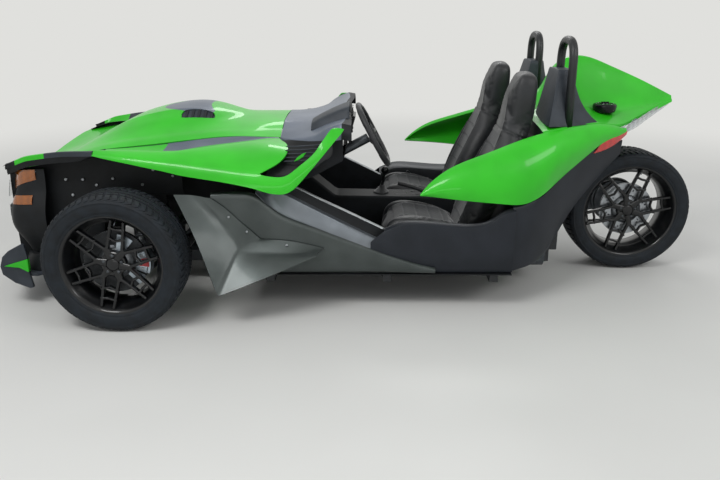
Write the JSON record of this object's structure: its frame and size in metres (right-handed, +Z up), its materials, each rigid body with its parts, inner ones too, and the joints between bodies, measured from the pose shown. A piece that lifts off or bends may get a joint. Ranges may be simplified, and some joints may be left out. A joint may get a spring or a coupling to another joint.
{
  "type": "three-wheeled roadster",
  "caption": "Open three-wheeled roadster with steered front wheels, a driven rear wheel on a one-sided swingarm, bucket seats, roll hoops and a swept hood.",
  "frame": {"origin": "on the floor, below the middle of the vehicle's overall box", "axes": "+X forward, +Y to the driver's left, +Z up"},
  "size_m": [3.8, 1.98, 1.318],
  "materials": {
    "green_paint": "gloss lime green paint",
    "slate_paint": "satin metallic slate grey paint",
    "pewter_paint": "gloss metallic pewter paint",
    "charcoal_paint": "satin dark charcoal paint",
    "black_plastic": "grained black moulded plastic",
    "frame_steel": "black powder-coated steel",
    "knuckle_metal": "cast aluminium",
    "caliper_paint": "red painted caliper",
    "disc_steel": "ground steel",
    "rim_black": "gloss black painted cast alloy",
    "tyre_rubber": "road tyre rubber",
    "steel": "plated steel",
    "lamp_glass": "clear lamp cover",
    "tail_red": "red lamp cover with a clear end",
    "seat_cover": "black coated seat fabric",
    "grip_rubber": "soft-touch grip",
    "belt_rubber": "toothed drive belt",
    "cast_block": "cast engine block"
  },
  "bodies": {
    "chassis": {"accents": "slate_paint", "belt_drive": "belt_rubber", "centre_console": "black_plastic", "coil_overs": "steel", "cowl": "slate_paint", "dashboard": "black_plastic", "engine": "cast_block", "fenders": "green_paint", "firewall": "black_plastic", "flares": "pewter_paint", "floor_pan": "frame_steel", "frame_cross_members": "frame_steel", "frame_rails": "frame_steel", "front_fascia": "black_plastic", "fuel_cap": "black_plastic", "gauge_hood": "black_plastic", "gear_lever": "grip_rubber", "grille": "black_plastic", "headlamps": "lamp_glass", "hood": "green_paint", "hood_vents": "black_plastic", "hoop_fairings": "slate_paint", "inner_fenders": "black_plastic", "lower_wishbones": "frame_steel", "muffler": "steel", "pedals": "steel", "rack_housing": "frame_steel", "radiator": "cast_block", "rear_bulkhead": "black_plastic", "rear_deck": "green_paint", "rear_lowers": "charcoal_paint", "rear_quarters": "green_paint", "rear_sills": "charcoal_paint", "roll_hoops": "frame_steel", "seat_backs": "seat_cover", "seat_cushions": "seat_cover", "side_panels": "pewter_paint", "sills": "pewter_paint", "splitter": "black_plastic", "steering_column": "steel", "suspension_towers": "frame_steel", "swingarm": "frame_steel", "tail_lamps": "tail_red", "upper_wishbones": "frame_steel"},
    "knuckle_left": {"knuckle_left": "knuckle_metal", "brake_caliper_front_left": "caliper_paint"},
    "knuckle_right": {"knuckle_right": "knuckle_metal", "brake_caliper_front_right": "caliper_paint"},
    "wheel_front_left": {"tyre_front_left": "tyre_rubber", "rim_front_left": "rim_black", "brake_disc_front_left": "disc_steel"},
    "wheel_front_right": {"tyre_front_right": "tyre_rubber", "rim_front_right": "rim_black", "brake_disc_front_right": "disc_steel"},
    "wheel_rear": {"tyre_rear": "tyre_rubber", "rim_rear": "rim_black", "hub_rear": "disc_steel"},
    "steering_rack": {"steering_rack": "steel"},
    "steering_wheel": {"steering_wheel": "grip_rubber"}
  },
  "joints": [
    {"name": "steering_turn", "type": "hinge", "parent": "chassis", "child": "steering_wheel", "pos_m": [-0.092, 0.34, 0.824], "axis": [-0.8829, 0, 0.4695], "range_deg": [-500, 500]},
    {"name": "rack_slide", "type": "slide", "parent": "chassis", "child": "steering_rack", "axis": [0, 1, 0], "range_m": [-0.0605, 0.0605]},
    {"name": "knuckle_left_steer", "type": "hinge", "parent": "chassis", "child": "knuckle_left", "pos_m": [1.1105, 0.8395, 0.33], "axis": [0, 0, 1], "range_deg": [-30, 30]},
    {"name": "knuckle_right_steer", "type": "hinge", "parent": "chassis", "child": "knuckle_right", "pos_m": [1.1105, -0.8395, 0.33], "axis": [0, 0, 1], "range_deg": [-30, 30]},
    {"name": "wheel_front_left_spin", "type": "hinge", "parent": "knuckle_left", "child": "wheel_front_left", "pos_m": [1.1105, 0.8775, 0.33], "axis": [0, 1, 0], "continuous": true},
    {"name": "wheel_front_right_spin", "type": "hinge", "parent": "knuckle_right", "child": "wheel_front_right", "pos_m": [1.1105, -0.8775, 0.33], "axis": [0, 1, 0], "continuous": true},
    {"name": "wheel_rear_spin", "type": "hinge", "parent": "chassis", "child": "wheel_rear", "pos_m": [-1.5565, 0, 0.3435], "axis": [0, 1, 0], "continuous": true}
  ],
  "couplings": [
    {"joint": "knuckle_left_steer", "follows": "steering_turn", "ratio": 0.06},
    {"joint": "knuckle_right_steer", "follows": "steering_turn", "ratio": 0.06},
    {"joint": "rack_slide", "follows": "steering_turn", "m_per_rad": -0.0068755}
  ]
}
